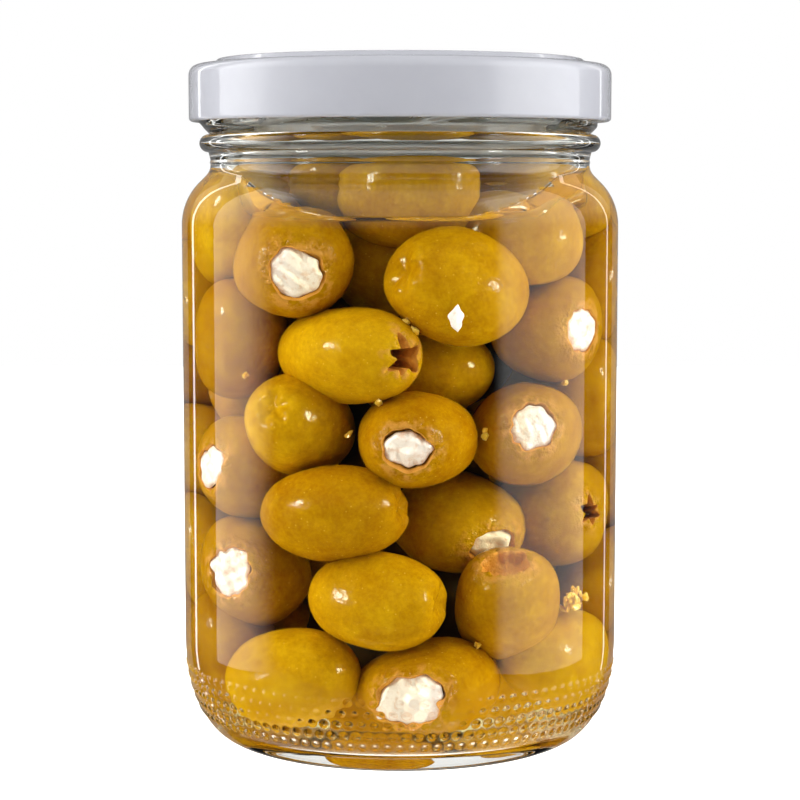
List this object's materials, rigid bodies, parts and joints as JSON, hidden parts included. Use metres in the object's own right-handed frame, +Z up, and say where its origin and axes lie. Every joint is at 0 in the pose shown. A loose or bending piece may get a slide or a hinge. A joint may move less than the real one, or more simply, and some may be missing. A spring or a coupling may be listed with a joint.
{
  "type": "jar of stuffed olives",
  "caption": "Closed clear glass jar with a white twist-off lid, packed with large stuffed green olives in golden brine.",
  "frame": {"origin": "centre of the foot ring, on the surface that the jar stands on", "axes": "+Z up along the jar's axis, towards the lid"},
  "size_m": [0.088, 0.088, 0.1369],
  "materials": {
    "glass": "clear flint glass",
    "lid_lacquer": "gloss white lacquer",
    "olive_flesh": "wet olive skin",
    "brine_liquid": "clear golden liquid"
  },
  "bodies": {
    "root": {"glass_jar": "glass", "lid": "lid_lacquer", "olives": "olive_flesh", "brine": "brine_liquid"}
  },
  "joints": []
}
